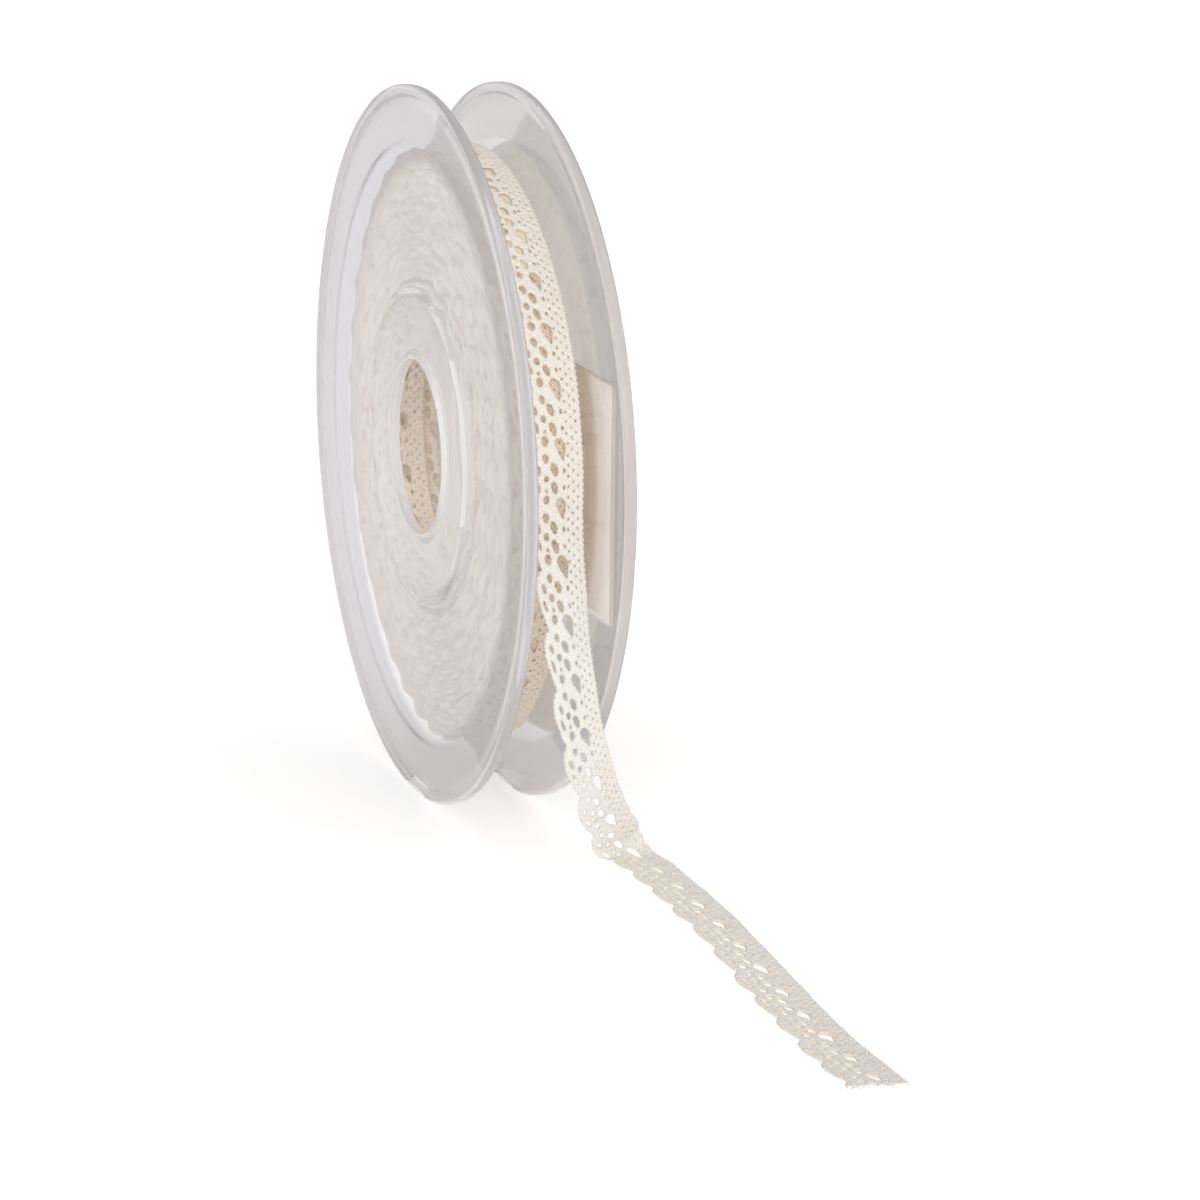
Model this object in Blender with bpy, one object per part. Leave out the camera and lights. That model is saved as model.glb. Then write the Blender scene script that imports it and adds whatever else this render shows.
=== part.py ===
# Spool of lace ribbon. A clear spool in two moulded halves stands on its rims, narrow cotton lace is wound
# on its hub, and the loose end hangs down in front and lies forward on the surface.
# Metres, +Z up. The origin is the middle of the flat spot under the left rim. +X runs along the spool's axis
# to the right flange, and the loose end runs forward along -Y.
import math
from collections import namedtuple

import bmesh
import bpy
from mathutils import Vector

GAP = 0.0003                     # between pieces that touch

# Spool
FLANGE_RADIUS = 0.069
FLANGE_SPACING = 0.0183          # from the middle of one flange to the middle of the other
WEB_THICKNESS = 0.0012
BAND_START = 0.85 * FLANGE_RADIUS  # the band inside the rim is thicker, on its inner face only
BAND_RAMP = 0.0020
BAND_STEP = 0.0003
BEAD_WIDTH = 0.0022              # the rounded rim
BEAD_HEIGHT = 0.0021
BEAD_ROUNDING = 0.0005
HOLE_RADIUS = 0.245 * FLANGE_RADIUS
LIP_WIDTH = 0.0012               # collar round the hole, on the inner face
LIP_HEIGHT = 0.0010
HUB_RADIUS = 0.444 * FLANGE_RADIUS
HUB_WALL = 0.0015
SPIGOT_WALL = 0.0013             # the right half plugs into the hub with a short ring
SPIGOT_LENGTH = 0.0050
FLAT_DEPTH = 0.0003              # how much of the rim's round the flat spot takes off
TURN_STEPS = 72

# Lace
LACE_WIDTH = 0.0102              # from the straight edge to the tips of the scallops
LACE_THICKNESS = 0.0010
SCALLOP_PITCH = 0.01065
SCALLOP_DEPTH = 0.00115
LAYER = LACE_THICKNESS + GAP     # each turn adds this much to the roll
ROLL_RADIUS = 0.838 * FLANGE_RADIUS
ROLL_STEPS = 72
TOP_TURN_LEFT = 0.00335          # the last turn, right of the left flange's middle
HOLE_LENGTH = 0.0034             # the largest hole of each repeat
HOLE_WIDTH = 0.0014
HOLE_OFFSET = 0.0008             # its middle, from the lace's middle towards the straight edge
FIRST_HOLE = 0.0210              # along the loose end

# Label on the outside of the right flange
LABEL_HEIGHT = 0.0440
LABEL_FRONT = 0.0604             # its front edge, from the spool's axis
LABEL_BACK = 0.0185
LABEL_CORNER = 0.0025
LABEL_THICKNESS = 0.0003

FLAT_ANGLE = math.acos(1 - FLAT_DEPTH / FLANGE_RADIUS)
AXIS_HEIGHT = FLANGE_RADIUS - FLAT_DEPTH
INNER_FACE = WEB_THICKNESS / 2

# The middle line of the loose end in millimetres: right of the spool's middle, in front of the axis, above
# the surface. lift raises the straight edge, in degrees.
Station = namedtuple("Station", "right front up lift")
LOOSE_END = (
    Station(right=-0.8, front=57.3, up=68.3, lift=0),      # leaves the roll
    Station(right=-0.8, front=59.0, up=58.0, lift=-7),
    Station(right=-0.2, front=61.0, up=47.0, lift=-14),
    Station(right=0.9, front=62.4, up=36.0, lift=-17),     # in front of the right rim
    Station(right=3.2, front=61.8, up=25.0, lift=-21),
    Station(right=6.9, front=59.2, up=14.8, lift=-25),
    Station(right=11.0, front=54.8, up=7.2, lift=-23),
    Station(right=14.2, front=52.2, up=2.8, lift=-15),     # folds forward
    Station(right=15.8, front=54.2, up=0.9, lift=-6),
    Station(right=16.1, front=58.5, up=0.8, lift=-2),      # lies on the surface
    Station(right=16.1, front=66.0, up=1.2, lift=-3),
    Station(right=15.8, front=80.0, up=1.8, lift=-4),
    Station(right=15.3, front=97.0, up=1.7, lift=-4),
    Station(right=14.6, front=117.0, up=1.1, lift=-3),
    Station(right=13.4, front=138.0, up=0.6, lift=-1),
    Station(right=12.3, front=158.0, up=1.2, lift=-1),
    Station(right=11.4, front=174.5, up=2.6, lift=0),      # cut straight across, curled up a little
)

# The roll's section: right of the left flange's middle, and from the axis. wander is how far the corner shifts
# sideways round the roll, and turn is 1 where the spiral takes a layer off it. The first turns fill the gap
# between the flanges, and the last ones lie towards the left flange.
LEFT_SIDE = INNER_FACE + GAP
RIGHT_SIDE = FLANGE_SPACING - INNER_FACE - GAP
TOP_TURN_RIGHT = TOP_TURN_LEFT + LACE_WIDTH
WOUND_FROM = HUB_RADIUS + GAP
Corner = namedtuple("Corner", "right radius wander turn")
ROLL_SECTION = (
    Corner(right=LEFT_SIDE, radius=WOUND_FROM, wander=0.0, turn=0),
    Corner(right=RIGHT_SIDE, radius=WOUND_FROM, wander=0.0, turn=0),
    Corner(right=RIGHT_SIDE, radius=WOUND_FROM + 0.0060, wander=0.0, turn=0),
    Corner(right=TOP_TURN_RIGHT + 0.0021, radius=WOUND_FROM + 0.0120, wander=0.0005, turn=0),
    Corner(right=TOP_TURN_RIGHT + 0.0006, radius=WOUND_FROM + 0.0185, wander=0.0006, turn=0),
    Corner(right=TOP_TURN_RIGHT + 0.0002, radius=ROLL_RADIUS - 0.0024, wander=0.0003, turn=0),
    Corner(right=TOP_TURN_RIGHT, radius=ROLL_RADIUS - 0.0005, wander=0.0, turn=1),
    Corner(right=TOP_TURN_RIGHT - 0.0007, radius=ROLL_RADIUS, wander=0.0, turn=1),
    Corner(right=TOP_TURN_LEFT + 0.0008, radius=ROLL_RADIUS, wander=0.0, turn=1),
    Corner(right=TOP_TURN_LEFT, radius=ROLL_RADIUS - 0.0006, wander=0.0002, turn=1),
    Corner(right=TOP_TURN_LEFT - 0.0005, radius=ROLL_RADIUS - 0.0016, wander=0.0003, turn=0),
    Corner(right=LEFT_SIDE + 0.0006, radius=ROLL_RADIUS - 0.0019, wander=0.0002, turn=0),
    Corner(right=LEFT_SIDE + 0.0001, radius=ROLL_RADIUS - 0.0032, wander=0.0001, turn=0),
    Corner(right=LEFT_SIDE + 0.0003, radius=WOUND_FROM + 0.0160, wander=0.0003, turn=0),
    Corner(right=LEFT_SIDE + 0.0001, radius=WOUND_FROM + 0.0070, wander=0.0001, turn=0),
)


def clear_scene():
    for old in list(bpy.data.objects):
        bpy.data.objects.remove(old, do_unlink=True)


def make_material(name, colour, roughness, alpha=1.0):
    material = bpy.data.materials.new(name)
    material.use_nodes = True
    shader = material.node_tree.nodes["Principled BSDF"]
    shader.inputs["Base Color"].default_value = (*colour, 1.0)
    shader.inputs["Roughness"].default_value = roughness
    shader.inputs["Metallic"].default_value = 0.0
    shader.inputs["Alpha"].default_value = alpha
    return material


def finish(name, bm, material, smooth_angle=None):
    bmesh.ops.recalc_face_normals(bm, faces=bm.faces)
    mesh = bpy.data.meshes.new(name)
    bm.to_mesh(mesh)
    bm.free()
    mesh.materials.append(material)
    if smooth_angle is not None:
        mesh.shade_smooth()
        mesh.set_sharp_from_angle(angle=math.radians(smooth_angle))
    piece = bpy.data.objects.new(name, mesh)
    bpy.context.scene.collection.objects.link(piece)
    return piece


def flange_outline(inside):
    # Half of the spool in section, as (outward from the flange's middle, radius). The outer face and the
    # rim come first, then the inner face, and inside is what stands on it between the rim and the hole.
    bead = BEAD_WIDTH / 2
    bead_foot = FLANGE_RADIUS - BEAD_HEIGHT
    bead_shoulder = bead_foot + BEAD_ROUNDING
    hole_lip = HOLE_RADIUS + LIP_WIDTH
    return [
        (INNER_FACE, HOLE_RADIUS),
        (INNER_FACE, bead_foot),
        (bead, bead_shoulder),
        (bead, FLANGE_RADIUS - BEAD_ROUNDING),
        (bead - BEAD_ROUNDING, FLANGE_RADIUS),
        (BEAD_ROUNDING - bead, FLANGE_RADIUS),
        (-bead, FLANGE_RADIUS - BEAD_ROUNDING),
        (-bead, bead_shoulder),
        (-INNER_FACE - BAND_STEP, bead_foot),
        (-INNER_FACE - BAND_STEP, BAND_START),
        (-INNER_FACE, BAND_START - BAND_RAMP),
        *inside,
        (-INNER_FACE, hole_lip),
        (-INNER_FACE - LIP_HEIGHT, hole_lip - BEAD_ROUNDING / 2),
        (-INNER_FACE - LIP_HEIGHT, HOLE_RADIUS),
    ]


def tube_on_flange(outer_radius, wall, reach):
    # A ring that stands on the flange's inner face and reaches this far from the flange's middle.
    return [
        (-INNER_FACE, outer_radius),
        (-reach, outer_radius),
        (-reach, outer_radius - wall),
        (-INNER_FACE, outer_radius - wall),
    ]


def turn_flange(name, outline, middle, outward, material):
    # The outline is turned about the spool's axis. It starts and ends beside straight down, and the one wide
    # step between is the flat spot that the rim stands on.
    axis_point = Vector((0, 0, AXIS_HEIGHT))
    bm = bmesh.new()
    start = Vector((0, math.sin(FLAT_ANGLE), -math.cos(FLAT_ANGLE)))
    corners = [bm.verts.new(axis_point + start * radius + Vector((middle + outward * out, 0, 0)))
               for out, radius in outline]
    edges = [bm.edges.new((corners[i - 1], corners[i])) for i in range(len(corners))]
    turning = {"cent": axis_point, "axis": (1, 0, 0), "dvec": (0, 0, 0), "use_duplicate": False}
    round_part = bmesh.ops.spin(bm, geom=corners + edges, angle=math.tau - 2 * FLAT_ANGLE,
                                steps=TURN_STEPS, **turning)
    bmesh.ops.spin(bm, geom=round_part["geom_last"], angle=2 * FLAT_ANGLE, steps=1, **turning)
    bmesh.ops.remove_doubles(bm, verts=bm.verts, dist=0.000005)
    return finish(name, bm, material, smooth_angle=35)


def left_half(material):
    hub = tube_on_flange(HUB_RADIUS, HUB_WALL, FLANGE_SPACING - INNER_FACE - GAP)
    return turn_flange("left_flange_and_hub", flange_outline(hub), 0, -1, material)


def right_half(material):
    spigot = tube_on_flange(HUB_RADIUS - HUB_WALL - GAP, SPIGOT_WALL, INNER_FACE + SPIGOT_LENGTH)
    return turn_flange("right_flange_and_spigot", flange_outline(spigot), FLANGE_SPACING, 1, material)


def roll_ring(angle):
    # One section of the roll. angle is 0 in front, where the loose end leaves, and grows over the top and
    # round the back, while the spiral takes one layer off.
    layer_lost = LAYER * angle / math.tau
    swell = 0.00025 * math.sin(4 * angle)
    sway = 0.6 * math.sin(3 * angle + 0.6) + 0.4 * math.sin(7 * angle + 2.0)
    ring = []
    for corner in ROLL_SECTION:
        radius = corner.radius + corner.turn * (swell - layer_lost)
        right = corner.right + corner.wander * sway
        ring.append(Vector((right, -radius * math.cos(angle), AXIS_HEIGHT + radius * math.sin(angle))))
    return ring


def lace_roll(material):
    last = math.tau - math.radians(0.4)
    bm = bmesh.new()
    rings = []
    for i in range(ROLL_STEPS + 1):
        rings.append([bm.verts.new(point) for point in roll_ring(last * i / ROLL_STEPS)])
    for i, ring in enumerate(rings):
        before = rings[i - 1]
        for k in range(len(ring)):
            bm.faces.new((before[k - 1], before[k], ring[k], ring[k - 1]))
    return finish("lace_roll", bm, material, smooth_angle=50)


def curve_through(stations, steps):
    # A Catmull-Rom curve through the stations, with evenly many points between each two.
    rows = [Vector((s.right, -s.front, s.up, s.lift)) for s in stations]
    rows = [2 * rows[0] - rows[1], *rows, 2 * rows[-1] - rows[-2]]
    points = []
    for before, here, there, after in zip(rows, rows[1:], rows[2:], rows[3:]):
        for i in range(steps):
            t = i / steps
            points.append(0.5 * (2 * here + (there - before) * t
                                 + (2 * before - 5 * here + 4 * there - after) * t ** 2
                                 + (3 * here - before - 3 * there + after) * t ** 3))
    points.append(rows[-2])
    return points


def point_along(points, lengths, distance):
    i = next((k for k in range(1, len(lengths) - 1) if lengths[k] >= distance), len(lengths) - 1)
    share = (distance - lengths[i - 1]) / (lengths[i] - lengths[i - 1])
    return points[i - 1].lerp(points[i], share)


def scallop(phase):
    # How far the edge stands out past the valley, as a share. The tip comes early in each repeat.
    return math.sin(math.pi * (phase % 1.0) ** 0.65)


def lace_stations(total):
    # Distances along the loose end, six to a repeat, with two steps for the largest hole. phase is 0 at the
    # hole's middle, where the scallops meet.
    half_hole = HOLE_LENGTH / 2 / SCALLOP_PITCH
    phases = (-half_hole, 0.0, half_hole, 0.33, 0.50, 0.67)
    stations = [(0.0, -FIRST_HOLE / SCALLOP_PITCH, None)]
    for repeat in range(-2, 20):
        for step, phase in enumerate(phases):
            distance = FIRST_HOLE + (repeat + phase) * SCALLOP_PITCH
            if 0.0008 < distance < total - 0.0008:
                stations.append((distance, phase, step))
    stations.append((total, (total - FIRST_HOLE) / SCALLOP_PITCH, None))
    return stations


def lace_tail(material):
    points = curve_through(LOOSE_END, 16)
    lengths = [0.0]
    for before, here in zip(points, points[1:]):
        lengths.append(lengths[-1] + (here - before).to_3d().length)
    total = lengths[-1] / 1000
    half = LACE_WIDTH / 2
    bm = bmesh.new()
    rows = []
    steps = []
    for distance, phase, step in lace_stations(total):
        here = point_along(points, lengths, distance * 1000)
        ahead = point_along(points, lengths, min(distance + 0.0008, total) * 1000)
        behind = point_along(points, lengths, max(distance - 0.0008, 0) * 1000)
        along = (ahead - behind).to_3d().normalized()
        level = Vector((1, 0, 0)) - along * along.x
        level.normalize()
        lift = math.radians(here.w)
        across = math.cos(lift) * level + math.sin(lift) * along.cross(level)
        middle = here.to_3d() / 1000 + Vector((FLANGE_SPACING / 2, 0, 0))
        narrow = 0.15 if step == 2 else 1.0              # each hole ends in a point
        offsets = (
            half,
            HOLE_OFFSET + HOLE_WIDTH / 2,
            HOLE_OFFSET + HOLE_WIDTH / 2 - narrow * HOLE_WIDTH,
            -half * 0.5,
            SCALLOP_DEPTH * (1 - scallop(phase)) - half,
        )
        row = []
        for offset in offsets:
            place = middle + across * offset
            place.z = max(place.z, LACE_THICKNESS / 2)   # it lies flat where it meets the surface
            row.append(bm.verts.new(place))
        rows.append(row)
        steps.append(step)
    for i in range(1, len(rows)):
        hole = steps[i] in (1, 2) and steps[i - 1] in (0, 1)
        for k in range(4):
            if hole and k == 1:
                continue
            bm.faces.new((rows[i - 1][k], rows[i - 1][k + 1], rows[i][k + 1], rows[i][k]))
    tail = finish("lace_tail", bm, material, smooth_angle=60)
    thickness = tail.modifiers.new("Thickness", "SOLIDIFY")
    thickness.thickness = LACE_THICKNESS
    thickness.offset = 0.0
    return tail


def label(material):
    face = FLANGE_SPACING + INNER_FACE + GAP
    middle = Vector((face, -(LABEL_FRONT + LABEL_BACK) / 2, AXIS_HEIGHT))
    half_width = (LABEL_FRONT - LABEL_BACK) / 2 - LABEL_CORNER
    half_height = LABEL_HEIGHT / 2 - LABEL_CORNER
    bm = bmesh.new()
    corners = []
    for quarter, (side, rise) in enumerate(((1, 1), (-1, 1), (-1, -1), (1, -1))):
        for i in range(6):
            angle = math.radians(90 * quarter + 18 * i)
            y = side * half_width + LABEL_CORNER * math.cos(angle)
            z = rise * half_height + LABEL_CORNER * math.sin(angle)
            corners.append(bm.verts.new(middle + Vector((0, y, z))))
    sheet = bm.faces.new(corners)
    raised = bmesh.ops.extrude_face_region(bm, geom=[sheet])
    lifted = [item for item in raised["geom"] if isinstance(item, bmesh.types.BMVert)]
    bmesh.ops.translate(bm, verts=lifted, vec=(LABEL_THICKNESS, 0, 0))
    return finish("label", bm, material)


def build():
    clear_scene()
    clear_plastic = make_material("clear_plastic", (0.84, 0.83, 0.86), 0.18, alpha=0.55)
    cream_cotton = make_material("cream_cotton", (0.86, 0.80, 0.70), 0.90)
    plain_paper = make_material("plain_paper", (0.88, 0.87, 0.86), 0.70)
    left_half(clear_plastic)
    right_half(clear_plastic.copy())
    lace_roll(cream_cotton)
    lace_tail(cream_cotton.copy())
    label(plain_paper)


build()
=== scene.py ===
import math

import bpy
import numpy as np
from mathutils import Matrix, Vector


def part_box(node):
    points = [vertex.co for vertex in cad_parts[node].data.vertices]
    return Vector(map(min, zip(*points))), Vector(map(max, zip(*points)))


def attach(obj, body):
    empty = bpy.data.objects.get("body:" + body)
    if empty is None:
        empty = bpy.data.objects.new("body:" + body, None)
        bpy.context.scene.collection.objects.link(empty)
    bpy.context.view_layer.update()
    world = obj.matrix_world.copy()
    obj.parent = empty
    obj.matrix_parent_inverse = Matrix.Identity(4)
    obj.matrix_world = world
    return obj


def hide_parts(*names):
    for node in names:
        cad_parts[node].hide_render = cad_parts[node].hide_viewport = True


# A clear spool of narrow cotton lace: two moulded flanges on a hub, the wound roll, its last turn and the
# loose end as real openwork, and a blank paper label. Metres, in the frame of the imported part.
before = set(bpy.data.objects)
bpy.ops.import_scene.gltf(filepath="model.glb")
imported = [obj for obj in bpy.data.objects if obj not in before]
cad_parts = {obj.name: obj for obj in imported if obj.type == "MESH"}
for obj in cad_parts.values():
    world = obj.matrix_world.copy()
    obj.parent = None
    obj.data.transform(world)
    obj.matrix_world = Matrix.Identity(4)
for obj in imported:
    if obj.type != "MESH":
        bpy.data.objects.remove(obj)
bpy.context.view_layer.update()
print("stage 1: frame loaded, nodes", sorted(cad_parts))


def putObject(name, data):
    thing = bpy.data.objects.new(name, data)
    bpy.context.scene.collection.objects.link(thing)
    return thing


def putPiece(name, points, quads, materials, triangles=None, sharp=None, way=None, lap=0.0,
             shade=None, far=None, finishes=None):
    # Puts whole arrays into one mesh: quads first, then triangles. way is a place on the cloth for each
    # point, kept as the UV map "way": where a quad crosses the seam of that map, its low corners get one lap
    # more. shade, painted shade from 1 in the open to 0 where hidden, and far, 1 where the loose end takes
    # its painted darker tone, are kept as attributes of the points. finishes says for each quad which of the
    # materials it takes.
    triangles = np.zeros((0, 3), int) if triangles is None else triangles
    corners = np.concatenate([quads.ravel(), triangles.ravel()])
    starts = np.concatenate([np.arange(len(quads)) * 4, len(quads) * 4 + np.arange(len(triangles)) * 3])
    mesh = bpy.data.meshes.new(name)
    mesh.vertices.add(len(points))
    mesh.vertices.foreach_set("co", points.astype(np.float32).ravel())
    mesh.loops.add(len(corners))
    mesh.loops.foreach_set("vertex_index", corners.astype(np.int32))
    mesh.polygons.add(len(starts))
    mesh.polygons.foreach_set("loop_start", starts.astype(np.int32))
    if way is not None:
        onQuads = way[quads]
        if lap:
            low = onQuads[:, :, 0] < onQuads[:, :, 0].max(1)[:, None] - lap / 2
            onQuads[:, :, 0] += lap * low
        onCorners = np.concatenate([onQuads.reshape(-1, 2), way[triangles].reshape(-1, 2)])
        mesh.uv_layers.new(name="way").data.foreach_set("uv", onCorners.astype(np.float32).ravel())
    for label, values in (("shade", shade), ("far", far)):
        if values is not None:
            mesh.attributes.new(label, "FLOAT", "POINT").data.foreach_set("value", values.astype(np.float32))
    if finishes is not None:
        mesh.polygons.foreach_set("material_index", finishes.astype(np.int32))
    mesh.update(calc_edges=True)
    mesh.validate()
    mesh.shade_smooth()
    if sharp is not None:
        mesh.set_sharp_from_angle(angle=math.radians(sharp))
    for material in materials:
        mesh.materials.append(material)
    piece = putObject(name, mesh)
    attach(piece, "root")
    print("   ", name, len(quads) * 2 + len(triangles), "triangles")
    return piece


def ringQuads(rows, columns):
    # Quads of a grid that closes on itself both ways: each point with the next in its row and in its column.
    index = np.arange(rows * columns).reshape(rows, columns)
    down, right = np.roll(index, -1, 0), np.roll(index, -1, 1)
    return np.stack([index, down, np.roll(down, -1, 1), right], -1).reshape(-1, 4)


def outwards(points, quads):
    # The volume inside, as the sum of the cones from the origin over all quads, is below zero when a closed
    # form is inside out. Then each quad is turned round.
    a, b, c, d = (points[quads[:, k]] for k in range(4))
    volume = (np.cross(a, b) * c).sum() + (np.cross(a, c) * d).sum()
    return quads if volume > 0 else quads[:, ::-1]


def unit(values):
    return np.clip(values, 0, 1)


def rippled(a, b, seed, waves=6):
    # Soft unevenness from about -1 to 1: a few sine waves of random direction and phase, added up.
    chance = np.random.default_rng(seed)
    total = np.zeros(np.broadcast(a, b).shape)
    for heading, stretch, phase in zip(chance.uniform(0, math.pi, waves), chance.uniform(0.5, 1.6, waves),
                                       chance.uniform(0, math.tau, waves)):
        total += np.sin(stretch * (a * math.cos(heading) + b * math.sin(heading)) + phase)
    return total / math.sqrt(waves * 2)


spool = {
    "radius": 0.069,
    "spacing": 0.0183,            # between the flanges' middles
    "axisHeight": 0.0687,
    "halfWeb": 0.0006,
    "beadWidth": 0.0022,          # rounded rim
    "beadHeight": 0.0021,
    "bandStart": 0.05865,         # the thicker band inside the rim
    "bandStep": 0.0003,
    "holeRadius": 0.016905,
    "lipWidth": 0.0012,           # collar round the hole
    "lipHeight": 0.0010,
    "hubRadius": 0.030636,
    "hubWall": 0.0015,
    "spigotWall": 0.0013,
    "spigotLength": 0.0050,
    "fit": 0.0003,                # air between the two halves
    "steps": 320,
    "leftRamp": 0.0012,           # over which the band rises from the web
    "rightRamp": 0.0060,
    "leftRings": [(0.0221, 0.0007, 0.00003)],    # fine raised lines on the outer face: radius, width, height
    "fine": 0.00012,              # rounding of a fine ring
}


def roundedOutline(corners):
    # Each corner (out, radius, rounding) becomes a quarter-like bend: a parabola between the two points that
    # lie one rounding away along its sides, with a holding point just beyond each, so that flats stay flat.
    corners = np.array(corners, float)
    places, rounding = corners[:, :2], corners[:, 2]
    before, after = np.roll(places, 1, 0), np.roll(places, -1, 0)
    outline = []
    for here, back, on, r in zip(places, before, after, rounding):
        toBack, toOn = back - here, on - here
        lengthBack, lengthOn = np.linalg.norm(toBack), np.linalg.norm(toOn)
        toBack, toOn = toBack / lengthBack, toOn / lengthOn
        first, last = here + toBack * min(r, 0.45 * lengthBack), here + toOn * min(r, 0.45 * lengthOn)
        if lengthBack > 4 * r:
            outline.append(first + toBack * r)
        t = np.linspace(0, 1, 5)[:, None]
        outline.extend((1 - t) ** 2 * first + 2 * t * (1 - t) * here + t ** 2 * last)
        if lengthOn > 4 * r:
            outline.append(last + toOn * r)
    return np.array(outline)


def flangeCorners(onInside, outerRings, ramp):
    # Half of the spool in section, as (out from the flange's middle, radius, rounding). Each ring is a low
    # triangle on the outer face. The band inside the rim rises over the ramp, and onInside holds the corners
    # of the tube.
    web, bead, rim, hole = spool["halfWeb"], spool["beadWidth"] / 2, spool["radius"], spool["holeRadius"]
    foot, lip = rim - spool["beadHeight"], hole + spool["lipWidth"]
    band, collar, fine = -web - spool["bandStep"], -web - spool["lipHeight"], spool["fine"]
    corners = [(web, hole, fine * 2)]
    for radius, width, height in outerRings:
        corners += [(web, radius - width / 2, fine / 2), (web + height, radius, fine),
                    (web, radius + width / 2, fine / 2)]
    return corners + [
        (web, foot - 0.0016, 0.0009),
        (bead, foot + 0.0009, 0.0009),
        (bead, rim, 0.0009),
        (-bead, rim, 0.0009),
        (-bead, foot + 0.0009, 0.0006),
        (band, foot - 0.0004, 0.0004),
        (band, spool["bandStart"], 0.0006),
        (-web, spool["bandStart"] - ramp, 0.0006),
        *onInside,
        (-web, lip + 0.0004, 0.0005),
        (collar, lip - 0.0003, 0.0004),
        (collar, hole, 0.0004),
    ]


def tubeCorners(outerRadius, wall, end):
    # A tube on the inner face, out to its end and back along its inside.
    web = -spool["halfWeb"]
    return [(web, outerRadius, 0.0002), (end, outerRadius, 0.0003),
            (end, outerRadius - wall, 0.0003), (web, outerRadius - wall, 0.0002)]


def turnedFlange(name, corners, middle, outward, materials, node):
    # The outline is turned about the spool's axis: a point at radius r and angle a lies r cos a in front of
    # the axis and r sin a above it. What would go below the surface is cut flat there. The rim takes the
    # second material, the tube and its bend at the web the third, and the wall of the hole the fourth.
    outline = roundedOutline(corners)
    angle = np.linspace(0, math.tau, spool["steps"], endpoint=False)[:, None]
    x = middle + outward * outline[:, 0] + 0 * angle
    y = -outline[:, 1] * np.cos(angle)
    z = np.maximum(spool["axisHeight"] + outline[:, 1] * np.sin(angle), 0)
    points = np.stack([x, y, z], -1).reshape(-1, 3)
    quads = outwards(points, ringQuads(*x.shape))
    radius = outline[quads % len(outline), 1].mean(1)
    out = outline[quads % len(outline), 0].mean(1)
    rim, collar = radius > spool["radius"] - 0.0008, radius < spool["holeRadius"] + 0.0003
    tube = (out < -spool["halfWeb"] - 0.0001) & (radius > spool["holeRadius"] + 0.004)
    bend = (out < -spool["halfWeb"] + 0.0001) & (radius > spool["hubRadius"] - spool["hubWall"] - 0.0009)
    tube = (tube | bend) & (radius < spool["hubRadius"] + 0.001)
    piece = putPiece(name, points, quads, materials, sharp=40,
                     finishes=rim + 2 * tube + 3 * collar)
    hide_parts(node)
    return piece


def nodeGroup(name, inputs):
    # A group with these inputs, and a colour, a roughness and a height out of it.
    group = bpy.data.node_groups.new(name, "ShaderNodeTree")
    for label, kind, value in inputs:
        socket = group.interface.new_socket(label, in_out="INPUT", socket_type="NodeSocket" + kind)
        if value is not None:
            socket.default_value = value
    for label, kind in (("Colour", "Color"), ("Roughness", "Float"), ("Height", "Float")):
        group.interface.new_socket(label, in_out="OUTPUT", socket_type="NodeSocket" + kind)
    return group, group.nodes.new("NodeGroupInput").outputs


def giveOut(group, *values):
    # Links the colour, the roughness and the height to the group's outputs.
    for value, socket in zip(values, group.nodes.new("NodeGroupOutput").inputs):
        group.links.new(value, socket)
    return group


def addNode(tree, kind, settings=None, **inputs):
    # A node of this kind with its settings. An input is a number, a colour or another node's output, and its
    # key is the socket's name, or i and its number.
    node = tree.nodes.new("ShaderNode" + kind)
    for key, value in (settings or {}).items():
        setattr(node, key, value)
    for key, value in inputs.items():
        numbered = key[0] == "i" and key[1:].isdigit()
        socket = node.inputs[int(key[1:]) if numbered else key.replace("_", " ")]
        if isinstance(value, bpy.types.NodeSocket):
            tree.links.new(value, socket)
        else:
            socket.default_value = value
    return node


def calc(tree, operation, a, b=0.0):
    return addNode(tree, "Math", {"operation": operation}, i0=a, i1=b).outputs[0]


def plus(tree, a, b):
    return calc(tree, "ADD", a, b)


def minus(tree, a, b):
    return calc(tree, "SUBTRACT", a, b)


def times(tree, a, b):
    return calc(tree, "MULTIPLY", a, b)


def distance(tree, a, b):
    # The root of the sum of both squares.
    return calc(tree, "SQRT", plus(tree, times(tree, a, a), times(tree, b, b)))


def noise(tree, place, scale, **inputs):
    return addNode(tree, "TexNoise", Vector=place, Scale=scale, **inputs).outputs["Fac"]


def stretched(tree, place, scale):
    node = addNode(tree, "Mapping", Vector=place)
    node.inputs["Scale"].default_value = scale
    return node.outputs[0]


def blendColours(tree, factor, first, second):
    return addNode(tree, "Mix", {"data_type": "RGBA"}, i0=factor, i6=first, i7=second).outputs[2]


def dimmed(tree, colour, share):
    # The colour times one number.
    spread = addNode(tree, "CombineColor", Red=share, Green=share, Blue=share)
    node = addNode(tree, "Mix", {"data_type": "RGBA", "blend_type": "MULTIPLY"}, i0=1.0, i6=colour,
                   i7=spread.outputs[0])
    return node.outputs[2]


def smoothRise(tree, value, low, high):
    # 0 below low and 1 above high, with a soft step between them.
    node = addNode(tree, "MapRange", {"interpolation_type": "SMOOTHSTEP"}, Value=value)
    node.inputs["From Min"].default_value, node.inputs["From Max"].default_value = low, high
    return node.outputs[0]


yarn = {
    "lean": 0.62,                 # of the two families of ridges, in radians
    "ridges": 560.0,              # wave and noise scales
    "warp": 900.0,
    "fibres": 5200.0,
    "specks": 620.0,
    "speckRise": (0.55, 0.72),    # values of the noise over which a speck sets in
}


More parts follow.
